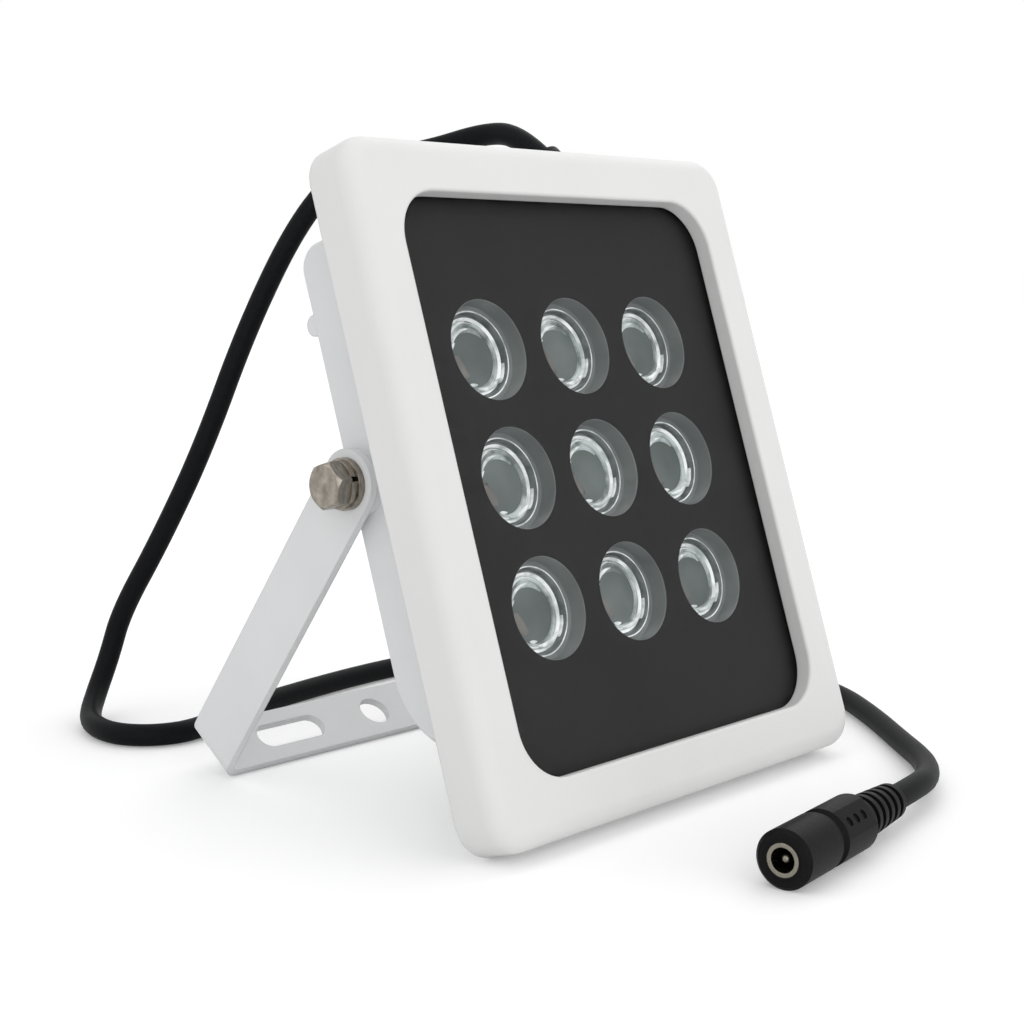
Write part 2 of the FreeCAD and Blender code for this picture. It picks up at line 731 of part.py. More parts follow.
def make_housing():
    """The die casting: flange, box with fins, driver bay and pivot bosses."""
    body = new_body("rear_housing")
    profile = new_sketch(body, "YZ_Plane")
    draw_side_profile(profile)
    box = pad(body, profile, "housing_width", symmetric=True)
    half = number("housing_width") / 2
    back = -number(FLANGE_BACK)

    def on_side(item):
        box_of = item.BoundBox
        flat = abs(abs(box_of.XMin) - half) < 1e-4 and abs(box_of.XMax - box_of.XMin) < 1e-4
        return flat and box_of.ZMin < back
    front = -number(FLANGE_FRONT)
    bevel_edges(body, box, "housing_edge",
                lambda item: on_side(item) and abs(item.BoundBox.ZMin - front) > 1e-4)
    cut_fins(body)
    slab(body, FLOOR_BACK, "bay_depth - %s" % FLOOR_BACK, [rounded("bay_width", "bay_height", "bay_corner")])
    slab(body, FLANGE_FRONT, "flange_thickness", [rounded(FLANGE_WIDTH, FLANGE_HEIGHT, "flange_corner")])
    side_cylinder(body, "boss_radius", "%s - boss_length" % BOSS_FACE, BOSS_FACE, "pivot_height",
                  "pivot_depth")
    side_cylinder(body, "bump_radius", "housing_width / 2 - 2 * side_wall",
                  "housing_width / 2 - 1.5 * housing_edge", "bump_height",
                  "housing_depth + bump_reach - bump_radius")
    cavity_height = "(%s - %s)" % (CAVITY_TOP, CAVITY_FOOT)
    recess(body, FLANGE_FRONT, "%s - %s" % (FLOOR_FRONT, FLANGE_FRONT),
           [rounded(CAVITY_WIDTH, cavity_height, "cavity_corner", "0", BOARD_RISE)])
    recess(body, FLOOR_BACK, "bay_depth - %s" % FLOOR_BACK, [draw_bay])
    standoffs = [circle("standoff_radius", x, y) for x, y in driver_screw_spots()]
    slab(body, FLOOR_BACK, "driver_standoff", standoffs)
    tapped = "screw_radius + thread_play"
    recess(body, "bay_depth - screw_bite - screw_tip_gap", "screw_bite + screw_tip_gap",
           [circle(tapped, x, y) for x, y in bay_post_spots()])
    recess(body, FLOOR_FRONT, "floor_thickness", [circle(tapped, x, y) for x, y in board_screw_spots()])
    recess(body, "%s + driver_standoff - screw_bite" % FLOOR_BACK, "screw_bite",
           [circle(tapped, x, y) for x, y in driver_screw_spots()])
    recess(body, FLANGE_FRONT, "flange_thickness",
           [circle("screw_radius + pivot_play", x, y) for x, y in bezel_screw_spots()])
    for flip in (False, True):
        sketch = new_sketch(body, "YZ_Plane", "-(%s)" % BOSS_FACE if flip else BOSS_FACE)
        draw_circle(sketch, "bolt_radius + thread_play", "pivot_height", "-pivot_depth")
        pocket(body, sketch, "boss_length - 1", flip=flip)
    sketch = new_sketch(body, "XZ_Plane", "-housing_rise")
    draw_circle(sketch, "exit_hole_radius", "exit_side", "-exit_depth")
    pocket(body, sketch, "top_wall", flip=True)
    node(body, "rear_housing", HEAD)


def make_screws(label, spots, seat, grip, forward):
    """Equal pan head screws: the head's underside at the seat, the shank through the grip."""
    screws = []
    for order, (x, y) in enumerate(spots, start=1):
        name = "%s_%d" % (label, order)
        seat_height = behind(seat)
        head_base = "%s - screw_head_height" % seat_height if forward else seat_height
        shank_base = seat_height if forward else "%s - (%s)" % (seat_height, grip)
        head = primitive("Cylinder", name + "_head", Radius="screw_head_radius", Height="screw_head_height",
                         Placement__Base__x=x, Placement__Base__y=y, Placement__Base__z=head_base)
        shank = primitive("Cylinder", name + "_shank", Radius="screw_radius", Height=grip,
                          Placement__Base__x=x, Placement__Base__y=y, Placement__Base__z=shank_base)
        screws.append(fuse(name, [head, shank]))
    node(compound(label + "_set", screws), label, HEAD)


def make_driver():
    """Supply board on two standoffs, with its coil and capacitor, and the closing cover."""
    board = new_body("driver_board")
    slab(board, DRIVER_FRONT, "board_thickness",
         [rounded("driver_width", "driver_height", "bay_corner - bay_wall")])
    recess(board, DRIVER_FRONT, "board_thickness",
           [circle("screw_radius + board_play / 4", x, y) for x, y in driver_screw_spots()])
    node(board, "driver_board", HEAD)
    parts_seat = "(%s + board_thickness)" % DRIVER_FRONT
    for label, radius, height, up in (("driver_inductor", "inductor_radius", "inductor_height", 1),
                                      ("driver_capacitor", "capacitor_radius", "capacitor_height", -1)):
        item = primitive("Cylinder", label + "_can", Radius=radius, Height=height)
        node(item, label, head_at("0", "(%d) * driver_height / 4" % up, "%s + %s" % (parts_seat, height)))
    cover_outline = rounded("bay_width", "bay_height", "bay_corner")
    seal = new_body("cover_seal")
    slab(seal, "bay_depth", "cover_seal_thickness", [cover_outline, draw_bay])
    recess(seal, "bay_depth", "cover_seal_thickness",
           [circle("screw_radius + pivot_play", x, y) for x, y in bay_post_spots()])
    node(seal, "cover_seal", HEAD)
    cover = new_body("driver_cover")
    cover_front = "(bay_depth + cover_seal_thickness)"
    plate = slab(cover, cover_front, "cover_thickness", [cover_outline])
    round_edges(cover, plate, "cover_thickness / 3", at_height("-(%s + cover_thickness)" % cover_front))
    recess(cover, cover_front, "cover_thickness",
           [circle("screw_radius + pivot_play", x, y) for x, y in bay_post_spots()])
    node(cover, "driver_cover", HEAD)


def make_relief():
    """The ribbed strain relief: a plug in the wall, a flange and a bent ribbed neck."""
    plug = primitive("Cylinder", "relief_plug", Radius="exit_hole_radius - thread_play",
                     Height="top_wall", Placement__Base__z="-top_wall")
    flange = primitive("Cylinder", "relief_flange", Radius="relief_flange_radius",
                       Height="relief_flange_height")
    bend = number("relief_bend_radius")
    angle = math.radians(number("relief_bend_angle"))
    start = Vector(0, 0, number("relief_flange_height"))

    def along(turn):
        """A point and the direction of the neck after this much of its bend."""
        point = start + Vector(0, bend * (1 - math.cos(turn)), bend * math.sin(turn))
        return point, Vector(0, math.sin(turn), math.cos(turn))
    path = Part.Wire([Part.Arc(along(0)[0], along(angle / 2)[0], along(angle)[0]).toShape()])
    section = Part.Wire([Part.makeCircle(number("relief_core_radius"), start, Vector(0, 0, 1))])
    core = doc.addObject("Part::Feature", "relief_core")
    core.Shape = path.makePipeShell([section], True, True)
    ribs = []
    rib_length = number("relief_rib_length")
    for order in range(RELIEF_RIBS):
        turn = angle * (order + 1) / RELIEF_RIBS - rib_length / bend
        point, direction = along(turn)
        rib = primitive("Cylinder", "relief_rib_%d" % (order + 1), Radius="relief_rib_radius",
                        Height="relief_rib_length")
        rib.Placement = Placement(point, Rotation(Vector(0, 0, 1), direction))
        ribs.append(rib)
    upright = Rotation(Vector(1, 0, 0), -90)
    node(fuse("relief_fuse", [plug, flange, core] + ribs), "strain_relief",
         head_at("exit_side", "housing_rise", "exit_depth", upright))


def make_bracket():
    """One strip folded into a U, with round arm ends, a round hole and two slots."""
    body = new_body("mounting_bracket")
    side = new_sketch(body, "YZ_Plane")
    radius = number("strip_width") / 2
    bottom = -number("bracket_reach")
    arc = Part.ArcOfCircle(Part.Circle(Vector(0, 0, 0), Vector(0, 0, 1), radius), 0, math.pi)
    crown = side.addGeometry(arc, False)
    left = side.addGeometry(Part.LineSegment(arc.EndPoint, Vector(-radius, bottom, 0)), False)
    foot = side.addGeometry(Part.LineSegment(Vector(-radius, bottom, 0), Vector(radius, bottom, 0)), False)
    right = side.addGeometry(Part.LineSegment(Vector(radius, bottom, 0), arc.StartPoint), False)
    tie(side, "DistanceX", crown, 3, "0")
    tie(side, "DistanceY", crown, 3, "0")
    tie_radius(side, crown, "strip_width / 2")
    side.addConstraint(Sketcher.Constraint("Tangent", crown, 2, left, 1))
    side.addConstraint(Sketcher.Constraint("Coincident", left, 2, foot, 1))
    side.addConstraint(Sketcher.Constraint("Coincident", foot, 2, right, 1))
    side.addConstraint(Sketcher.Constraint("Tangent", right, 2, crown, 1))
    tie(side, "DistanceY", foot, 1, "-bracket_reach")
    tie(side, "DistanceY", foot, 2, "-bracket_reach")
    blank = pad(body, side, "bracket_width", symmetric=True)

    def at_fold(item):
        box = item.BoundBox
        flat = box.ZMax - box.ZMin < 1e-4 and box.XMax - box.XMin < 1e-4
        return flat and abs(box.ZMin - bottom) < 1e-4
    round_edges(body, blank, "fold_radius", at_fold)
    inside = new_sketch(body, "XZ_Plane")
    inner_width = "(bracket_width - 2 * strip_thickness)"
    inner_fold = "(fold_radius - strip_thickness)"
    inner_height = "(2 * bracket_reach)"
    draw_rounded(inside, inner_width, inner_height, inner_fold, "0", "strip_thickness")
    pocket(body, inside, "2 * strip_width", symmetric=True)
    pivots = new_sketch(body, "YZ_Plane")
    draw_circle(pivots, "bolt_radius + shaft_play")
    pocket(body, pivots, "2 * bracket_width", symmetric=True)
    holes = new_sketch(body, "XY_Plane", "-bracket_reach")
    draw_circle(holes, "bracket_hole_radius", "-bracket_hole_offset")
    draw_slot(holes, "slot_length", "slot_width", "slot_offset")
    draw_slot(holes, "slot_length", "slot_width", "-slot_offset")
    pocket(body, holes, "strip_thickness", flip=True)
    node(body, "mounting_bracket", STAND)


def ring(name, outer, inner, thickness):
    disc = primitive("Cylinder", name + "_disc", Radius=outer, Height=thickness)
    hole = primitive("Cylinder", name + "_hole", Radius=inner, Height=thickness)
    return cut(name + "_ring", disc, hole)


def make_pivot_side(prefix, sign):
    """Hex bolt, spring washer and flat washer on one side of the pivot."""
    outward = Rotation(Vector(0, 1, 0), 90 * sign)

    def at_side(distance):
        return HEAD.multiply(Placement(down_local("(%d) * (%s)" % (sign, distance), "pivot_height",
                                                  "pivot_depth"), outward))
    flat = ring(prefix + "_flat", "flat_washer_radius", "bolt_radius + pivot_play", "flat_washer_thickness")
    node(flat, prefix + "_flat_washer", at_side(WASHER_SEAT))
    spring = ring(prefix + "_spring", "spring_washer_radius", "bolt_radius + pivot_play",
                  "spring_washer_thickness")
    slit = primitive("Box", prefix + "_slit", Length="spring_washer_radius * 2", Width="spring_washer_gap",
                     Height="spring_washer_thickness", Placement__Base__y="-spring_washer_gap / 2")
    node(cut(prefix + "_split", spring, slit), prefix + "_spring_washer", at_side(SPRING_SEAT))
    head = primitive("Prism", prefix + "_head", Circumradius="bolt_flats / sqrt(3)",
                     Height="bolt_head_height")
    head.Polygon = 6
    crown = primitive("Cone", prefix + "_crown", Radius1="bolt_flats / 2 + bolt_head_height",
                      Radius2="bolt_flats / 2 - bolt_head_height * 0.05", Height="bolt_head_height")
    shaped = doc.addObject("Part::MultiCommon", prefix + "_bolt_head")
    shaped.Shapes = [head, crown]
    shank = primitive("Cylinder", prefix + "_shank", Radius="bolt_radius", Height="bolt_length",
                      Placement__Base__z="-bolt_length")
    node(fuse(prefix + "_fuse", [shaped, shank]), prefix + "_bolt", at_side(HEAD_SEAT))


def cord_wire():
    """Straight runs joined by tangent arcs along the route, and its radii."""
    points = [Vector(*point) for point in CORD_ROUTE]
    edges = []
    radii = []
    last = points[0]
    for before, corner, after in zip(points, points[1:], points[2:]):
        run_in = corner - before
        run_out = after - corner
        turn = run_in.getAngle(run_out)
        shorter = min(run_in.Length, run_out.Length)
        inward = (before - corner).normalize()
        outward = (after - corner).normalize()
        start = corner + inward * (ARC_SHARE * shorter)
        end = corner + outward * (ARC_SHARE * shorter)
        radius = ARC_SHARE * shorter / math.tan(turn / 2)
        bisector = (inward + outward).normalize()
        centre_distance = math.hypot(radius, ARC_SHARE * shorter)
        middle = corner + bisector * (centre_distance - radius)
        edges.append(Part.LineSegment(last, start).toShape())
        edges.append(Part.Arc(start, middle, end).toShape())
        radii.append(radius)
        last = end
    edges.append(Part.LineSegment(last, points[-1]).toShape())
    return Part.Wire(edges), radii


def make_cord():
    wire, radii = cord_wire()
    start = Vector(*CORD_ROUTE[0])
    direction = (Vector(*CORD_ROUTE[1]) - start).normalize()
    section = Part.Wire([Part.makeCircle(number("cord_radius"), start, direction)])
    tube = wire.makePipeShell([section], True, True)
    expected = math.pi * number("cord_radius") ** 2 * wire.Length
    print("cord length %.1f, radii %s" % (wire.Length, " ".join("%.0f" % radius for radius in radii)))
    if abs(tube.Volume - expected) > 0.01 * expected:
        raise ValueError("the cord's volume differs from its section times its length")
    cord = doc.addObject("Part::Feature", "cord_tube")
    cord.Shape = tube
    node(cord, "power_cord", Placement())


def jack_place():
    """The socket's frame: its mouth at the origin, pointing away from the cord."""
    end = Vector(*CORD_ROUTE[-1])
    direction = end - Vector(*CORD_ROUTE[-2])
    direction.z = 0
    direction.normalize()
    length = number("jack_front_length + jack_waist_length + jack_grip_length + jack_tail_length")
    rolled = Rotation(Vector(0, 0, 1), direction).multiply(Rotation(Vector(0, 0, 1), number("jack_roll")))
    return Placement(end + direction * length, rolled)


def make_jack():
    """A moulded in-line socket: barrel, waist, grip with dimples and a ribbed tail."""
    place = jack_place()
    body = new_body("jack_body")
    sketch = new_sketch(body, "XZ_Plane")
    waist_top = "-jack_front_length"
    grip_top = "(-jack_front_length - jack_waist_length)"
    grip_foot = "(-jack_front_length - jack_waist_length - jack_grip_length)"
    tail_foot = "(-jack_front_length - jack_waist_length - jack_grip_length - jack_tail_length)"
    outline = [
        ("0", "-jack_insulator_length"),
        ("jack_insulator_radius", "-jack_insulator_length"),
        ("jack_insulator_radius", "0"),
        ("jack_radius - jack_edge", "0"),
        ("jack_radius", "-jack_edge"),
        ("jack_radius", waist_top),
        ("jack_waist_radius", waist_top + " - jack_edge"),
        ("jack_waist_radius", grip_top + " + jack_edge"),
        ("jack_grip_radius", grip_top),
        ("jack_grip_radius", grip_foot + " + jack_edge"),
        ("jack_tail_radius", grip_foot),
    ]
    for groove in range(TAIL_GROOVES):
        share = "(%g)" % ((groove + 0.5) / TAIL_GROOVES)
        after = "(%g)" % ((groove + 1.0) / TAIL_GROOVES)
        here = "(jack_tail_radius + (jack_tail_end_radius - jack_tail_radius) * %s)" % share
        there = "(jack_tail_radius + (jack_tail_end_radius - jack_tail_radius) * %s)" % after
        top = "(%s - jack_tail_length * %s)" % (grip_foot, share)
        foot = "(%s - jack_tail_length * %s)" % (grip_foot, after)
        outline += [(here, top), (here + " - jack_groove", top), (there + " - jack_groove", foot)]
        if groove < TAIL_GROOVES - 1:
            outline.append((there, foot))
    outline.append(("0", tail_foot))
    draw_polygon(sketch, outline)
    revolve(body, sketch)
    for flip in (False, True):
        flat = new_sketch(body, "YZ_Plane", "-jack_grip_flats / 2" if flip else "jack_grip_flats / 2")
        draw_polygon(flat, [("-jack_radius", grip_top), ("jack_radius", grip_top),
                            ("jack_radius", grip_foot), ("-jack_radius", grip_foot)])
        pocket(body, flat, "jack_radius", flip=not flip)
    dimples = new_sketch(body, "YZ_Plane", "jack_grip_flats / 2")
    for step in GRID:
        draw_circle(dimples, "dimple_radius", "0",
                    "(%s + %s) / 2 + (%d) * dimple_pitch" % (grip_top, grip_foot, step))
    pocket(body, dimples, "dimple_depth")
    node(body, "jack_body", place)
    insulator = ring("insulator", "jack_insulator_radius", "jack_sleeve_radius", "jack_insulator_length")
    drop = Placement(Vector(0, 0, -number("jack_insulator_length")), Rotation())
    back = primitive("Cylinder", "insulator_back", Radius="jack_sleeve_radius",
                     Height="jack_insulator_length - jack_sleeve_length")
    node(fuse("insulator_fuse", [insulator, back]), "jack_insulator", place.multiply(drop))
    sleeve = ring("sleeve", "jack_sleeve_radius", "jack_bore_radius", "jack_sleeve_length")
    seat = Placement(Vector(0, 0, -number("jack_sleeve_length")), Rotation())
    node(sleeve, "jack_sleeve", place.multiply(seat))
    pin = primitive("Cylinder", "pin_shank", Radius="jack_pin_radius",
                    Height="jack_sleeve_length - jack_pin_recess - jack_pin_radius")
    tip = primitive("Sphere", "pin_tip", Radius="jack_pin_radius",
                    Placement__Base__z="jack_sleeve_length - jack_pin_recess - jack_pin_radius")
    node(fuse("pin_fuse", [pin, tip]), "jack_pin", place.multiply(seat))


def check_and_write():
    """Stops at a failed object, then writes each piece under its own name."""
    doc.recompute()
    for item in doc.Objects:
        if "Invalid" in item.State or "Error" in item.State:
            raise ValueError("%s is %s" % (item.Label, item.State))
    for item in NODES:
        if item.Shape.isNull() or not item.Shape.isValid():
            raise ValueError(item.Label + " has no valid shape")
    os.makedirs("parts", exist_ok=True)
    for item in NODES:
        item.Shape.exportStep("parts/%s.step" % item.Label)


make_bezel()
make_panes()
make_lens_grid()
make_led_board()
make_gasket()
make_housing()
make_screws("board_screws", board_screw_spots(), BOARD_FRONT, "board_thickness + floor_thickness", False)
make_screws("bezel_screws", bezel_screw_spots(), FLANGE_BACK,
            "flange_thickness + gasket_thickness + screw_bite", True)
make_driver()
make_screws("driver_screws", driver_screw_spots(), "%s + board_thickness" % DRIVER_FRONT,
            "board_thickness + screw_bite", True)
make_screws("cover_screws", bay_post_spots(), "bay_depth + cover_seal_thickness + cover_thickness",
            "cover_seal_thickness + cover_thickness + screw_bite", True)
make_relief()
make_bracket()
make_pivot_side("left", -1)
make_pivot_side("right", 1)
make_cord()
make_jack()
check_and_write()
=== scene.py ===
import json
import math

import bmesh
import bpy
from mathutils import Matrix, Vector


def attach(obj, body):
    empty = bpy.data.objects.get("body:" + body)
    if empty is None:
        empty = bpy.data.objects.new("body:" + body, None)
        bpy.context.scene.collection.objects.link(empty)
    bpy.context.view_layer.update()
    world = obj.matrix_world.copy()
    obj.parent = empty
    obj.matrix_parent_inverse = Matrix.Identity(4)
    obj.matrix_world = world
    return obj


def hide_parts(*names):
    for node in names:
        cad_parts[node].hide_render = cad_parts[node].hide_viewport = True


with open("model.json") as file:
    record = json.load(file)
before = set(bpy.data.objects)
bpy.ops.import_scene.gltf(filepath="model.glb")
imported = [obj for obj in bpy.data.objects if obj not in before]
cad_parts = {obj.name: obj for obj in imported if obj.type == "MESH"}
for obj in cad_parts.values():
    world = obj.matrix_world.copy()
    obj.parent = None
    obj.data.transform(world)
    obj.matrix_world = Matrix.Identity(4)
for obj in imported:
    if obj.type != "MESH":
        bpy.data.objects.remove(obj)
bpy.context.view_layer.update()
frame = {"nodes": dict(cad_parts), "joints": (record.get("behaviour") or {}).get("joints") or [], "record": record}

# Sizes repeated from the CAD model, in metres and radians
MM = 0.001
HEAD_TILT = math.radians(18.0)
PIVOT_HEIGHT = 7.6 * MM
PIVOT_DEPTH = 30.3 * MM
PLATE_BACK = 9.1 * MM
CORD_DIAMETER = 6.0 * MM
LENS_COUNT = 9

# The route of the cord in millimetres, from the top of the head to the socket
CORD_ROUTE = [
    (28.7, 18.2, 157.2), (28.7, 27, 163.8), (29.5, 39.5, 165.5), (22.5, 57.5, 160.5),
    (10.5, 74.5, 157.5), (0.3, 84.8, 142.5), (-12.3, 93.5, 112), (-23.8, 100, 77.5),
    (-32, 110.5, 50.5), (-37.5, 122, 29.5), (-40.5, 124.2, 16.5), (-47.8, 120.8, 7),
    (-56, 112.5, 3), (-61, 101, 3), (-61, 90.5, 3), (-54.5, 82.5, 3), (-44, 80, 3),
    (-22, 88, 3), (-3, 92.5, 3), (29, 97, 3), (56, 97.5, 3), (84, 87.5, 3), (106, 66.5, 3),
    (120, 37.5, 3), (123.5, 6, 3), (115, -23.5, 3), (96.5, -47, 3), (77, -68, 3),
    (61, -84, 4), (46, -93.5, 5), (31.5, -98.4, 6.6), (18, -99.9, 6.6),
]
# How finely the cord is divided, round its section and along its line
CORD_ROUNDING = 8
CORD_STEPS = 10

# The turn of the socket's moulding about its own length, and the pane's share of its CAD thickness
SOCKET_TURN = math.radians(-85.0)
PANE_SHARE = 0.96

# Camera, fitted to the photograph's edges, lens openings and pivot bolt
CAMERA_PLACE = (-0.33856, -0.30711, 0.1272)
CAMERA_FORWARD = (0.73084, 0.6696, -0.13229)
CAMERA_ROLL = math.radians(0.17)
CAMERA_LENS = 63.17
CAMERA_SENSOR = 36.0
CAMERA_NEAR = 0.01

# Lamps: name, direction from which the light comes, strength, and spread in degrees
LAMPS = [
    ("key_light", (0.2, -0.85, 0.5), 0.76, 60.0),
    ("fill_light", (-0.75, -0.65, 0.2), 0.49, 40.0),
    ("top_light", (0.6, 0.2, 0.9), 0.75, 60.0),
    ("back_light", (-0.6, 0.3, 0.8), 0.55, 70.0),
]
# The world's light on the object, then half the floor's side, its look, and its glow when seen
WORLD_LEVEL = 0.53
FLOOR_REACH = 6.0
FLOOR_TONE = 0.86
FLOOR_ROUGHNESS = 0.8
FLOOR_GLOW = 0.2


def head_frame():
    """The head's own frame: x to the right, y up the face, z to the front."""
    pivot = Vector(frame["joints"][0]["pos_m"])
    up = Vector((0, math.sin(HEAD_TILT), math.cos(HEAD_TILT)))
    front = Vector((0, -math.cos(HEAD_TILT), math.sin(HEAD_TILT)))
    origin = pivot - up * PIVOT_HEIGHT + front * PIVOT_DEPTH
    origin.x = 0
    place = Matrix((Vector((1, 0, 0)), up, front)).transposed().to_4x4()
    place.translation = origin
    return place


def add_object(name, data):
    made = bpy.data.objects.new(name, data)
    bpy.context.scene.collection.objects.link(made)
    return made


# Materials: noise scales are per metre, heights and edge radii are in metres
PAINT_CLOUDS = 38.0
PAINT_GRAIN = 1500.0
PAINT_HEIGHT = 0.00003
PAINT_EDGE = 0.0006
PAINT_ROUGHNESS = 0.5
METAL_HEIGHT = 0.00002
FINE_EDGE = 0.0003
LOW_SHINE = 0.25

# The black plate: middle, darkest and lightest tone, noise scale, roughness and shine
PLATE_TONE = 0.027
PLATE_DARK = 0.0255
PLATE_LIGHT = 0.0285
PLATE_CLOUDS = 30.0
PLATE_ROUGHNESS = 0.6
PLATE_SHINE = 0.06

# How far the roughness of a finish goes below and above the value given
COAT_SPREAD = (-0.05, 0.1)
MOULDING_SPREAD = (-0.07, 0.09)
GLOSS_SPREAD = (-0.05, 0.08)
METAL_SPREAD = (-0.08, 0.12)

# The pane: index of refraction, tones, noise scale, and the slant at which it starts to reflect
GLASS_INDEX = 1.5
GLASS_TONE = 0.97
GLASS_DARK = 0.965
GLASS_LIGHT = 0.975
GLASS_CLOUDS = 18.0
SHINE_START = 0.45


def grey(level):
    return (level, level, level)


def principled(material):
    return material.node_tree.nodes["Principled BSDF"]


def new_material(name, colour, roughness, **sockets):
    material = bpy.data.materials.new(name)
    material.use_nodes = True
    shader = principled(material)
    shader.inputs["Base Color"].default_value = (*colour, 1)
    shader.inputs["Roughness"].default_value = roughness
    for socket, value in sockets.items():
        shader.inputs[socket.replace("_", " ")].default_value = value
    return material


def add_node(owner, kind, **values):
    """A new node of a material or of the world, with the values given for its inputs."""
    made = owner.node_tree.nodes.new(kind)
    for socket, value in values.items():
        made.inputs[socket.replace("_", " ")].default_value = value
    return made


def join(owner, source, output, target, socket):
    owner.node_tree.links.new(source.outputs[output], target.inputs[socket])


def either_ray(owner, kinds):
    """A node whose Value is one for rays of the two or more kinds named, and zero for others."""
    ray = add_node(owner, "ShaderNodeLightPath")
    last, output = ray, kinds[0]
    for kind in kinds[1:]:
        either = add_node(owner, "ShaderNodeMath")
        either.operation = "MAXIMUM"
        join(owner, last, output, either, 0)
        join(owner, ray, kind, either, 1)
        last, output = either, "Value"
    return last


def object_noise(material, scale, detail=2.0, stretch=(1, 1, 1)):
    place = add_node(material, "ShaderNodeTexCoord")
    mapping = add_node(material, "ShaderNodeMapping", Scale=stretch)
    noise = add_node(material, "ShaderNodeTexNoise", Scale=scale, Detail=detail)
    join(material, place, "Object", mapping, "Vector")
    join(material, mapping, "Vector", noise, "Vector")
    return noise


def vary_colour(material, noise, dark, light, low=0.3, high=0.7):
    """Goes from the dark to the light tone where the noise goes from low to high."""
    ramp = add_node(material, "ShaderNodeValToRGB")
    ramp.color_ramp.elements[0].color = (*dark, 1)
    ramp.color_ramp.elements[1].color = (*light, 1)
    ramp.color_ramp.elements[0].position = low
    ramp.color_ramp.elements[1].position = high
    join(material, noise, "Fac", ramp, "Fac")
    join(material, ramp, "Color", principled(material), "Base Color")


def vary_roughness(material, noise, middle, spread):
    """Roughness that follows the noise, as far below and above its middle as the spread says."""
    low, high = (middle + end for end in spread)
    level = add_node(material, "ShaderNodeMapRange", To_Min=low, To_Max=high)
    join(material, noise, "Fac", level, "Value")
    join(material, level, "Result", principled(material), "Roughness")


def bump(material, noise, height, soften):
    """Fine relief from a noise, over edges that are softened by the radius given."""
    relief = add_node(material, "ShaderNodeBump", Strength=1.0, Distance=height)
    edge = add_node(material, "ShaderNodeBevel", Radius=soften)
    join(material, noise, "Fac", relief, "Height")
    join(material, edge, "Normal", relief, "Normal")
    join(material, relief, "Normal", principled(material), "Normal")


def face_direction(material):
    """Shades flat faces as flat, with no blend towards their edges."""
    surface = add_node(material, "ShaderNodeNewGeometry")
    join(material, surface, "True Normal", principled(material), "Normal")


def powder_coat(name, light, dark):
    """Matt paint with soft patches in its tone and a fine grain."""
    material = new_material(name, light, PAINT_ROUGHNESS, Specular_IOR_Level=LOW_SHINE)
    vary_colour(material, object_noise(material, PAINT_CLOUDS, detail=3.0), dark, light)
    grain = object_noise(material, PAINT_GRAIN)
    vary_roughness(material, grain, PAINT_ROUGHNESS, COAT_SPREAD)
    bump(material, grain, PAINT_HEIGHT, PAINT_EDGE)
    return material


def moulding(name, light, dark, roughness, scale, height, shine=0.5):
    """Moulded plastic or rubber with a fine relief."""
    material = new_material(name, light, roughness, Specular_IOR_Level=shine)
    noise = object_noise(material, scale, detail=3.0)
    vary_colour(material, noise, dark, light)
    vary_roughness(material, noise, roughness, MOULDING_SPREAD)
    bump(material, noise, height, FINE_EDGE)
    return material


def plain_gloss(name, light, dark, roughness, scale, low=0.3, high=0.7):
    """A smooth moulded surface with some variation in tone and polish."""
    material = new_material(name, light, roughness, Specular_IOR_Level=LOW_SHINE)
    noise = object_noise(material, scale, detail=3.0)
    vary_colour(material, noise, dark, light, low, high)
    vary_roughness(material, noise, roughness, GLOSS_SPREAD)
    return material


def metal(name, light, dark, roughness, scale, stretch=(1, 1, 1)):
    """Bare metal with patches of tone and polish, which are finer along a stretched axis."""
    material = new_material(name, light, roughness, Metallic=1.0)
    noise = object_noise(material, scale, detail=4.0, stretch=stretch)
    vary_colour(material, noise, dark, light)
    vary_roughness(material, noise, roughness, METAL_SPREAD)
    bump(material, noise, METAL_HEIGHT, FINE_EDGE)
    return material


def satin_plate():
    """Smooth black sheet behind the glass, with hardly any change of tone."""
    material = new_material("plate_black", grey(PLATE_TONE), PLATE_ROUGHNESS,
                            Specular_IOR_Level=PLATE_SHINE)
    noise = object_noise(material, PLATE_CLOUDS)
    vary_colour(material, noise, grey(PLATE_DARK), grey(PLATE_LIGHT))
    vary_roughness(material, noise, PLATE_ROUGHNESS, COAT_SPREAD)
    face_direction(material)
    return material


def clear_glass():
    """Glass that shines only at a low angle, and lets lamps through to what lies behind it."""
    material = new_material("clear_glass", grey(GLASS_TONE), 0.0, Transmission_Weight=1.0,
                            IOR=GLASS_INDEX, Specular_Tint=(0, 0, 0, 1))
    vary_colour(material, object_noise(material, GLASS_CLOUDS, detail=1.0),
                grey(GLASS_DARK), grey(GLASS_LIGHT))
    face_direction(material)
    inside = add_node(material, "ShaderNodeBsdfRefraction", Color=(*grey(GLASS_TONE), 1),
                      Roughness=0.0, IOR=GLASS_INDEX)
    slant = add_node(material, "ShaderNodeLayerWeight", Blend=0.5)
    shine = add_node(material, "ShaderNodeMapRange", From_Min=SHINE_START)
    glass = add_node(material, "ShaderNodeMixShader")
    join(material, slant, "Facing", shine, "Value")
    join(material, shine, "Result", glass, 0)
    join(material, inside, "BSDF", glass, 1)
    join(material, principled(material), "BSDF", glass, 2)
    ray = add_node(material, "ShaderNodeLightPath")
    open_way = add_node(material, "ShaderNodeBsdfTransparent")
    both = add_node(material, "ShaderNodeMixShader")
    join(material, ray, "Is Shadow Ray", both, 0)
    join(material, glass, "Shader", both, 1)
    join(material, open_way, "BSDF", both, 2)
    join(material, both, "Shader", material.node_tree.nodes["Material Output"], "Surface")
    return material


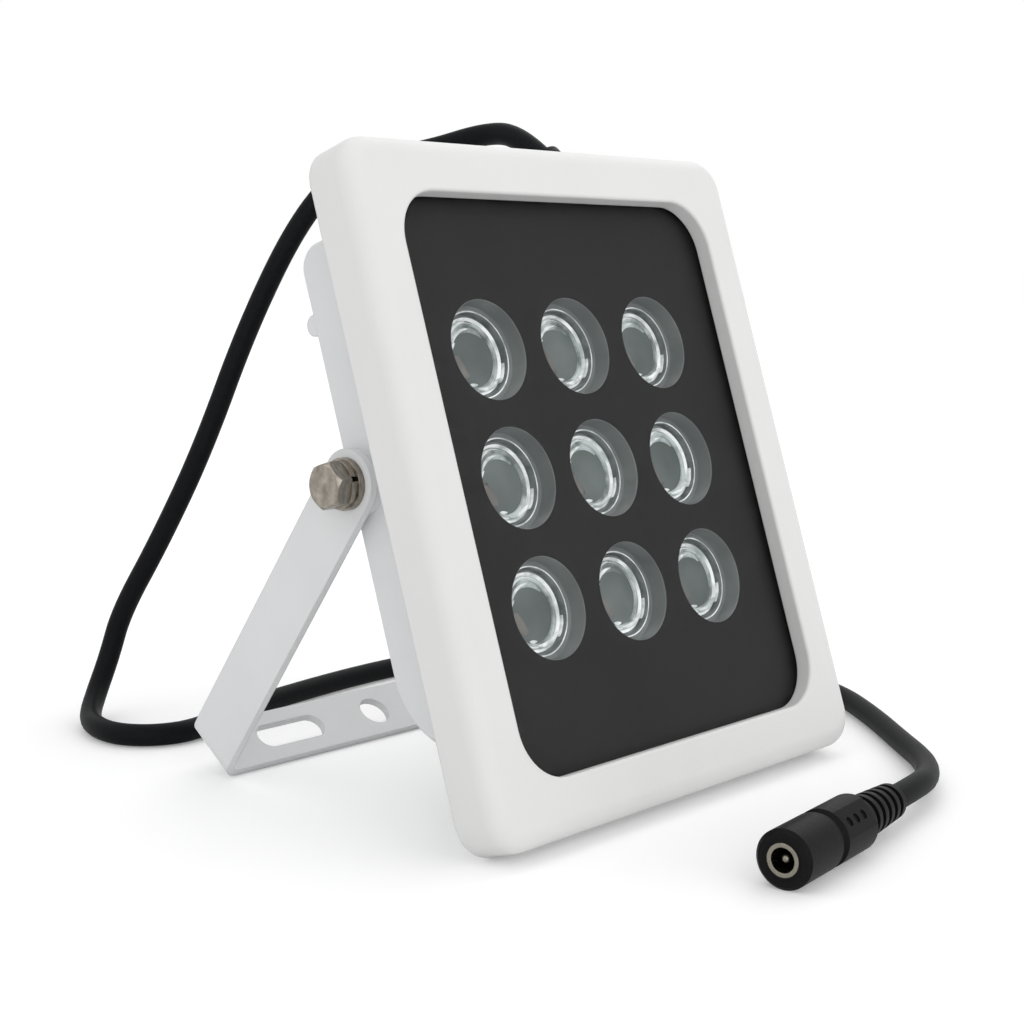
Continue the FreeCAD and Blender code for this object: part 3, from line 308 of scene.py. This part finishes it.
# The finish of each slot: light and dark tone, roughness and noise scale, then the height of the
# relief and the shine of a moulding, or the stretch of a metal's noise
FINISHES = {
    "bezel_paint": powder_coat("bezel_coat", (0.775, 0.775, 0.77), (0.755, 0.755, 0.75)),
    "housing_paint": powder_coat("housing_coat", (0.72, 0.735, 0.74), (0.69, 0.705, 0.71)),
    "bracket_paint": powder_coat("bracket_coat", (0.74, 0.75, 0.755), (0.71, 0.72, 0.725)),
    "black_plate": satin_plate(),
    "lens_plastic": moulding("lens_plastic", (0.16, 0.175, 0.175), (0.14, 0.155, 0.155),
                             0.2, 300.0, 0.00001),
    "emitter": moulding("emitter_resin", (0.5, 0.42, 0.2), (0.4, 0.34, 0.15), 0.25, 700.0, 0.00001),
    "board_metal": metal("board_metal", grey(0.75), grey(0.6), 0.45, 500.0),
    "circuit_board": moulding("circuit_green", (0.02, 0.12, 0.05), (0.015, 0.09, 0.04),
                              0.4, 800.0, 0.00002),
    "coil_core": moulding("coil_core", grey(0.035), grey(0.02), 0.6, 900.0, 0.00003),
    "capacitor_can": metal("capacitor_can", (0.3, 0.32, 0.38), (0.24, 0.26, 0.32), 0.35, 500.0),
    "seal_rubber": moulding("seal_rubber", grey(0.02), grey(0.014), 0.7, 800.0, 0.00003),
    "screw_steel": metal("screw_steel", (0.62, 0.61, 0.58), (0.5, 0.49, 0.47), 0.32, 900.0),
    "bolt_steel": metal("bolt_steel", (0.36, 0.33, 0.285), (0.19, 0.17, 0.145),
                        0.3, 420.0, (3, 1, 1)),
    "cord_rubber": moulding("cord_rubber", (0.0095, 0.01, 0.011), (0.0068, 0.0073, 0.0082),
                            0.45, 1100.0, 0.00003, 0.04),
    "relief_rubber": moulding("relief_rubber", (0.012, 0.013, 0.015), (0.009, 0.01, 0.012),
                              0.45, 900.0, 0.00004, 0.12),
    "socket_moulding": moulding("socket_moulding", (0.009, 0.009, 0.0094),
                                (0.0065, 0.0065, 0.0069), 0.42, 1200.0, 0.00004, 0.06),
    "socket_plastic": moulding("socket_plastic", grey(0.007), grey(0.005),
                               0.5, 900.0, 0.00002, 0.06),
    "socket_metal": metal("socket_metal", (0.26, 0.24, 0.2), (0.2, 0.185, 0.155), 0.25, 700.0),
    "clear_glass": clear_glass(),
}


def dress_nodes():
    """Gives every CAD node the finish that its slot names."""
    for part in frame["record"]["subparts"]:
        piece = frame["nodes"][part["node"]]
        piece.data.materials.clear()
        piece.data.materials.append(FINISHES[part["material_slot"]])


# The socket on the cord
def make_socket_body():
    """The moulding of the socket, turned about its own length until its grip faces the front."""
    mesh = frame["nodes"]["jack_body"].data.copy()
    end = Vector(CORD_ROUTE[-1]) * MM
    along = (end - Vector(CORD_ROUTE[-2]) * MM).normalized()
    place = Matrix.Translation(end)
    mesh.transform(place @ Matrix.Rotation(SOCKET_TURN, 4, along) @ place.inverted())
    piece = add_object("socket_body", mesh)
    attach(piece, "head")
    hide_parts("jack_body")


# The cord
def make_cord():
    """A smooth line along the route, as thick as the cord."""
    curve = bpy.data.curves.new("cord_line", "CURVE")
    curve.dimensions = "3D"
    curve.bevel_depth = CORD_DIAMETER / 2
    curve.bevel_resolution = CORD_ROUNDING
    curve.resolution_u = CORD_STEPS
    curve.use_fill_caps = True
    spline = curve.splines.new("NURBS")
    spline.points.add(len(CORD_ROUTE) - 1)
    for point, place in zip(spline.points, CORD_ROUTE):
        point.co = (place[0] * MM, place[1] * MM, place[2] * MM, 1)
    spline.order_u = 3
    spline.use_endpoint_u = True
    piece = add_object("supply_cord", curve)
    curve.materials.append(FINISHES["cord_rubber"])
    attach(piece, "head")
    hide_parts("power_cord")


# The section of a lens in millimetres: radius, depth behind the plate's back, round of the corner
# there, and finish of the run that follows. A depth below zero lies in the plate's opening.
LENS_PROFILE = [
    (0, 5.4, 0, "disc"), (7.4, 5.4, 0.1, "band_painted_highlight"), (7.6, 4.95, 0.1, "band_painted_highlight"),
    (8.2, 4.95, 0.08, "rim_painted_highlight"), (8.45, 5.25, 0.08, "band_painted_highlight"), (8.85, 5.25, 0.08, "rim_painted_highlight"),
    (9.15, 4.8, 0.1, "rim_painted_highlight"), (9.6, 4.8, 0.1, "groove"), (9.8, 5.4, 0.15, "groove"),
    (10.3, 5.4, 0.15, "groove"), (10.45, 3.35, 0.1, "rim_painted_highlight"), (10.8, 3.35, 0.1, "wall"),
    (11.95, 3.45, 0.3, "wall"), (12.1, -0.98, 0.06, "wall"), (12.25, -1.12, 0.05, "wall"),
    (12.25, 0.02, 0.03, "wall"), (13.8, 0.02, 0.1, "wall"), (13.8, 4.6, 0.3, "wall"),
    (6.2, 12.0, 0.2, "wall"), (4.2, 12.0, 0.2, "wall"), (3.6, 8.0, 0.2, "wall"),
    (0, 8.0, 0, "wall"),
]
# Steps round a lens and round a corner of its section, and the radius up to which a point is one
LENS_TURNS = 72
CORNER_STEPS = 4
ON_AXIS = 1e-6

# Raised marks on a lens in millimetres: first and last angle in degrees, radius at each of them,
# half width, depth of the top, and finish. All but the last, the facet, are painted glints and highlights
LENS_MARKS_AND_GLINTS = [
    (172, 40, 6.8, 6.9, 1.15, 5.3, "band_painted_highlight"), (146, 82, 6.1, 6.9, 0.5, 5.1, "mark"),
    (174, 141, 6.6, 5.6, 0.55, 5.2, "mark"), (252, 272, 7.0, 6.9, 0.55, 5.2, "mark"),
    (268, 322, 8.0, 9.3, 0.75, 4.55, "mark"), (316, 348, 9.9, 10.0, 0.4, 4.2, "mark"),
    (158, 92, 8.0, 8.5, 0.55, 4.6, "mark"), (192, 172, 7.1, 7.3, 0.4, 4.8, "mark"),
    (172, 250, 4.6, 5.0, 2.2, 5.34, "facet"),
]
# Depth of a mark's foot, steps along it, width of its top as a share of its foot, share of its
# taper that is cut off at each end, and the power that makes the taper full
MARK_FOOT = 5.7
MARK_STEPS = 12
MARK_TOP = 0.7
MARK_CUT = 0.04
MARK_FULLNESS = 0.7


def lens_finishes():
    """The finishes of a lens, in the order of its material slots."""
    return {
        "disc": plain_gloss("lens_disc", (0.14, 0.162, 0.158), (0.075, 0.09, 0.088), 0.2, 45.0),
        # The rim is near white in its light patches: painted highlights in place of the clear lens's bright rings
        "rim_painted_highlight": plain_gloss("lens_rim", (0.95, 0.97, 0.97), (0.42, 0.46, 0.46),
                           0.16, 170.0, 0.36, 0.58),
        "groove": plain_gloss("lens_groove", (0.26, 0.285, 0.285), (0.14, 0.16, 0.16), 0.2, 300.0),
        # The band goes from grey to light in mottled streaks: painted highlights on its own grey tone
        "band_painted_highlight": plain_gloss("lens_band", (0.5, 0.55, 0.55), (0.17, 0.19, 0.19),
                            0.2, 200.0, 0.38, 0.62),
        "wall": plain_gloss("lens_wall", (0.23, 0.248, 0.245), (0.165, 0.18, 0.178), 0.2, 60.0),
        # The mark is near white: painted glints in place of the lens's reflections of the lamps
        "mark": plain_gloss("lens_mark", (0.97, 0.99, 0.99), (0.45, 0.5, 0.5), 0.12, 420.0),
        "facet": plain_gloss("lens_facet", (0.19, 0.185, 0.176), (0.145, 0.141, 0.134),
                             0.2, 120.0),
    }


def round_corner(before, corner, after, radius):
    """Points of a short curve that replaces one corner of a profile."""
    inward = before - corner
    outward = after - corner
    start = corner + inward.normalized() * min(radius, inward.length / 2)
    end = corner + outward.normalized() * min(radius, outward.length / 2)
    shares = [step / CORNER_STEPS for step in range(CORNER_STEPS + 1)]
    return [start * (1 - t) ** 2 + corner * 2 * t * (1 - t) + end * t ** 2 for t in shares]


def smooth_profile(profile):
    """The profile with its corners rounded: points, each with the finish of the run after it."""
    places = [Vector(row[:2]) for row in profile]
    finishes = [row[3] for row in profile]
    points = [(places[0], finishes[0])]
    for i in range(1, len(profile) - 1):
        curve = round_corner(places[i - 1], places[i], places[i + 1], profile[i][2])
        half = len(curve) // 2
        points += [(point, finishes[i - 1]) for point in curve[:half]]
        points += [(point, finishes[i]) for point in curve[half:]]
    points.append((places[-1], finishes[-1]))
    return points


def on_lens(radius, angle, depth):
    """A place on a lens: radius and depth in millimetres, angle in radians."""
    return (radius * MM * math.cos(angle), radius * MM * math.sin(angle), -depth * MM)


def add_face(work, corners, slot):
    face = work.faces.new(corners)
    face.smooth = True
    face.material_index = slot


def add_turned_body(work, slots):
    """The closed solid of revolution of the lens profile, whose runs carry their own finishes."""
    points = smooth_profile(LENS_PROFILE)
    angles = [2 * math.pi * k / LENS_TURNS for k in range(LENS_TURNS)]
    rings = [[work.verts.new(on_lens(point.x, angle, point.y))
              for angle in (angles if point.x > ON_AXIS else angles[:1])]
             for point, _ in points]
    for inner, outer, (_, finish) in zip(rings, rings[1:], points):
        for k in range(LENS_TURNS):
            corners = [inner[k % len(inner)], outer[k % len(outer)],
                       outer[(k + 1) % len(outer)], inner[(k + 1) % len(inner)]]
            add_face(work, list(dict.fromkeys(corners)), slots.index(finish))


def add_mark(work, mark, slots):
    """A thin raised arc with tapered ends, on the face of a lens."""
    first, last, near, far, half, top, finish = mark
    sections = []
    for step in range(MARK_STEPS + 1):
        share = step / MARK_STEPS
        angle = math.radians(first + (last - first) * share)
        radius = near + (far - near) * share
        taper = math.sin(math.pi * (MARK_CUT + (1 - 2 * MARK_CUT) * share)) ** MARK_FULLNESS
        foot = half * taper
        outline = [(-foot, MARK_FOOT), (-foot * MARK_TOP, top),
                   (foot * MARK_TOP, top), (foot, MARK_FOOT)]
        sections.append([work.verts.new(on_lens(radius + offset, angle, depth))
                         for offset, depth in outline])
    faces = [sections[0][::-1], sections[-1]]
    for here, there in zip(sections, sections[1:]):
        for k in range(len(here)):
            after = (k + 1) % len(here)
            faces.append([here[k], here[after], there[after], there[k]])
    for corners in faces:
        add_face(work, corners, slots.index(finish))


def lens_mesh(name, finishes, place):
    """The mesh of one lens, which lies where the place given moves it."""
    slots = list(finishes)
    work = bmesh.new()
    add_turned_body(work, slots)
    for mark in LENS_MARKS_AND_GLINTS:
        add_mark(work, mark, slots)
    bmesh.ops.recalc_face_normals(work, faces=work.faces)
    mesh = bpy.data.meshes.new(name)
    work.to_mesh(mesh)
    work.free()
    mesh.transform(place)
    for slot in slots:
        mesh.materials.append(finishes[slot])
    return mesh


def middle_of(values):
    return (min(values) + max(values)) / 2


def make_lenses():
    """One detailed lens for each lens of the frame, in the same place."""
    finishes = lens_finishes()
    head = head_frame()
    to_head = head.inverted()
    for order in range(1, LENS_COUNT + 1):
        name = "lens_face_%d" % order
        points = [to_head @ vertex.co for vertex in frame["nodes"]["lens_%d" % order].data.vertices]
        across = middle_of([point.x for point in points])
        up = middle_of([point.y for point in points])
        place = head @ Matrix.Translation((across, up, -PLATE_BACK))
        piece = add_object(name, lens_mesh(name, finishes, place))
        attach(piece, "head")
        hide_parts("lens_%d" % order)


# The glass
def make_pane():
    """The pane of the frame, a little thinner, so that it clears the plate behind it."""
    head = head_frame()
    mesh = frame["nodes"]["window_glass"].data.copy()
    mesh.transform(head.inverted())
    front = Matrix.Translation((0, 0, max(vertex.co.z for vertex in mesh.vertices)))
    mesh.transform(head @ front @ Matrix.Scale(PANE_SHARE, 4, (0, 0, 1)) @ front.inverted())
    piece = add_object("window_pane", mesh)
    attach(piece, "head")
    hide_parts("window_glass")


# Floor, lamps and camera
def make_floor():
    """A wide white floor, which glows a little for the camera and in reflections."""
    mesh = bpy.data.meshes.new("floor_mesh")
    corners = [(-FLOOR_REACH, -FLOOR_REACH, 0), (FLOOR_REACH, -FLOOR_REACH, 0),
               (FLOOR_REACH, FLOOR_REACH, 0), (-FLOOR_REACH, FLOOR_REACH, 0)]
    mesh.from_pydata(corners, [], [(0, 1, 2, 3)])
    floor = add_object("studio_floor", mesh)
    material = new_material("floor_paper", grey(FLOOR_TONE), FLOOR_ROUGHNESS)
    seen = either_ray(material, ["Is Camera Ray", "Is Glossy Ray"])
    glow = add_node(material, "ShaderNodeEmission", Strength=FLOOR_GLOW)
    brighter = add_node(material, "ShaderNodeAddShader")
    both = add_node(material, "ShaderNodeMixShader")
    join(material, principled(material), "BSDF", brighter, 0)
    join(material, glow, "Emission", brighter, 1)
    join(material, seen, "Value", both, 0)
    join(material, principled(material), "BSDF", both, 1)
    join(material, brighter, "Shader", both, 2)
    join(material, both, "Shader", material.node_tree.nodes["Material Output"], "Surface")
    mesh.materials.append(material)


def make_world():
    """An even light, which looks plain white to the camera, in reflections and through glass."""
    world = bpy.data.worlds.new("studio")
    bpy.context.scene.world = world
    world.use_nodes = True
    back = world.node_tree.nodes["Background"]
    back.inputs["Color"].default_value = (1, 1, 1, 1)
    seen = either_ray(world, ["Is Camera Ray", "Is Glossy Ray", "Is Transmission Ray"])
    level = add_node(world, "ShaderNodeMapRange", To_Min=WORLD_LEVEL, To_Max=1.0)
    join(world, seen, "Value", level, "Value")
    join(world, level, "Result", back, "Strength")


def make_lamp(name, towards, strength, spread):
    """A wide soft light that falls evenly from one direction."""
    lamp = bpy.data.lights.new(name, "SUN")
    lamp.energy = strength
    lamp.angle = math.radians(spread)
    holder = add_object(name, lamp)
    holder.rotation_euler = (-Vector(towards)).to_track_quat("-Z", "Y").to_euler()


def make_camera():
    camera = bpy.data.cameras.new("photo_camera")
    camera.lens = CAMERA_LENS
    camera.sensor_width = CAMERA_SENSOR
    camera.clip_start = CAMERA_NEAR
    holder = add_object("photo_camera", camera)
    holder.location = CAMERA_PLACE
    aim = Vector(CAMERA_FORWARD).to_track_quat("-Z", "Y").to_matrix()
    holder.rotation_euler = (aim @ Matrix.Rotation(CAMERA_ROLL, 3, "Z")).to_euler()
    bpy.context.scene.camera = holder


dress_nodes()
make_socket_body()
make_cord()
make_lenses()
make_pane()
make_floor()
make_world()
for lamp_row in LAMPS:
    make_lamp(*lamp_row)
make_camera()
bpy.context.scene.view_settings.view_transform = "Standard"
